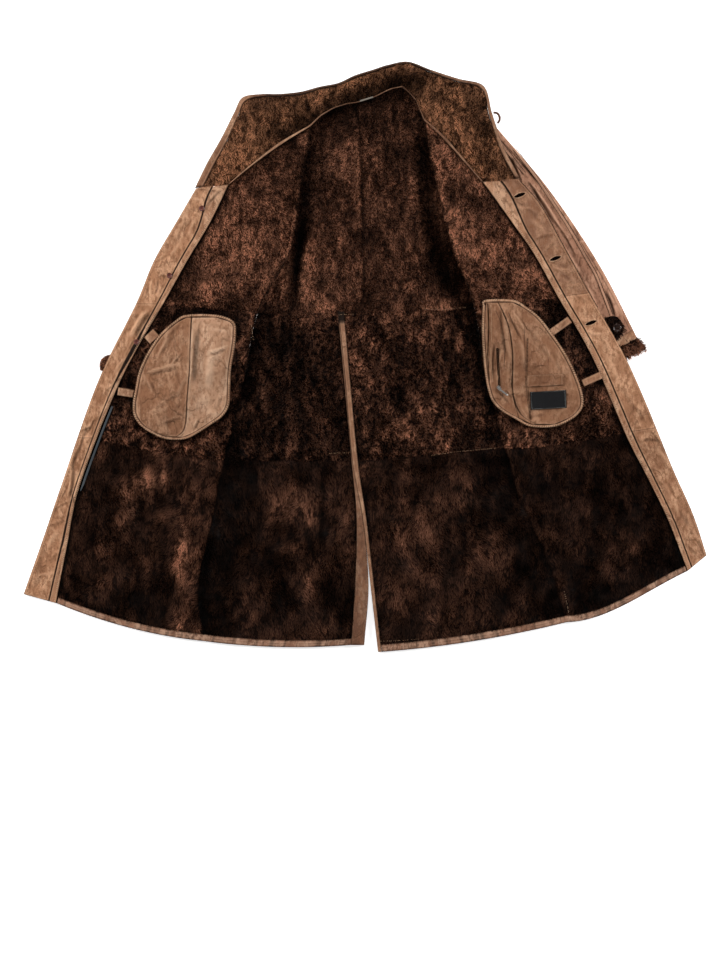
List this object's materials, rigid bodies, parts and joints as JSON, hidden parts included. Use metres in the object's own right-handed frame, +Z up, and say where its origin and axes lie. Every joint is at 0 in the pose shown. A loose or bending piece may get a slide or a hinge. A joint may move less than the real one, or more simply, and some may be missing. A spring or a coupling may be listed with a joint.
{
  "type": "shearling coat",
  "caption": "Men's knee-length shearling coat laid open on its back, dark pile side up, with tan leather facings, bound edges, pocket bags, vent and pile collar",
  "frame": {"origin": "middle of the laid-out coat's outline, on the surface that it lies on", "axes": "+Z up from the surface, +Y from the hem to the collar, +X towards the front with the buttonholes"},
  "size_m": [1.194, 1.0321, 0.038],
  "materials": {
    "fur": "soft dark brown pile with lighter tips, leather on its other side",
    "collar_fur": "longer golden brown pile",
    "leather": "waxed light tan skin with fine grain and creases",
    "binding": "thin tan leather folded round an edge and stitched",
    "bag_leather": "soft light brown leather, creased",
    "tape": "woven grey tape",
    "label": "dark satin weave with a pale border, left bare",
    "button": "dark horn look",
    "metal": "worn nickel"
  },
  "bodies": {
    "root": {"back_lower_left": "fur", "back_lower_right": "fur", "back_middle_left": "fur", "back_middle_right": "fur", "back_upper_left": "fur", "back_upper_right": "fur", "bag_binding_left": "binding", "bag_binding_right": "binding", "bag_inner_left": "bag_leather", "bag_main_right": "bag_leather", "bag_outer_left": "bag_leather", "bag_side_right": "bag_leather", "button_1": "button", "button_2": "button", "button_3": "button", "collar": "collar_fur", "collar_edge": "leather", "collar_loop": "leather", "counter_button_1": "button", "counter_button_2": "button", "counter_button_3": "button", "cuff_band_left": "leather", "cuff_band_right": "leather", "cuff_button": "button", "cuff_fur_left": "fur", "cuff_fur_right": "fur", "cuff_tab": "fur", "facing_binding_left": "binding", "facing_binding_right": "binding", "facing_lower_left": "leather", "facing_lower_right": "leather", "facing_middle_left": "leather", "facing_middle_right": "leather", "facing_upper_left": "leather", "facing_upper_right": "leather", "front_lower_left": "fur", "front_lower_right": "fur", "front_middle_left": "fur", "front_middle_right": "fur", "front_upper_left": "fur", "front_upper_right": "fur", "hanger_loop": "binding", "hem_band_left": "leather", "hem_band_right": "leather", "label": "label", "neck_strip": "binding", "pen_welt": "bag_leather", "sleeve_top_left": "leather", "sleeve_top_right": "leather", "sleeve_under_left": "leather", "sleeve_under_right": "leather", "stay_tape": "tape", "strap_left_lower": "leather", "strap_left_upper": "leather", "strap_right_lower": "leather", "strap_right_upper": "leather", "vent_binding": "binding", "vent_slip": "binding", "zip_slider": "metal", "zip_tape": "metal"}
  },
  "joints": []
}
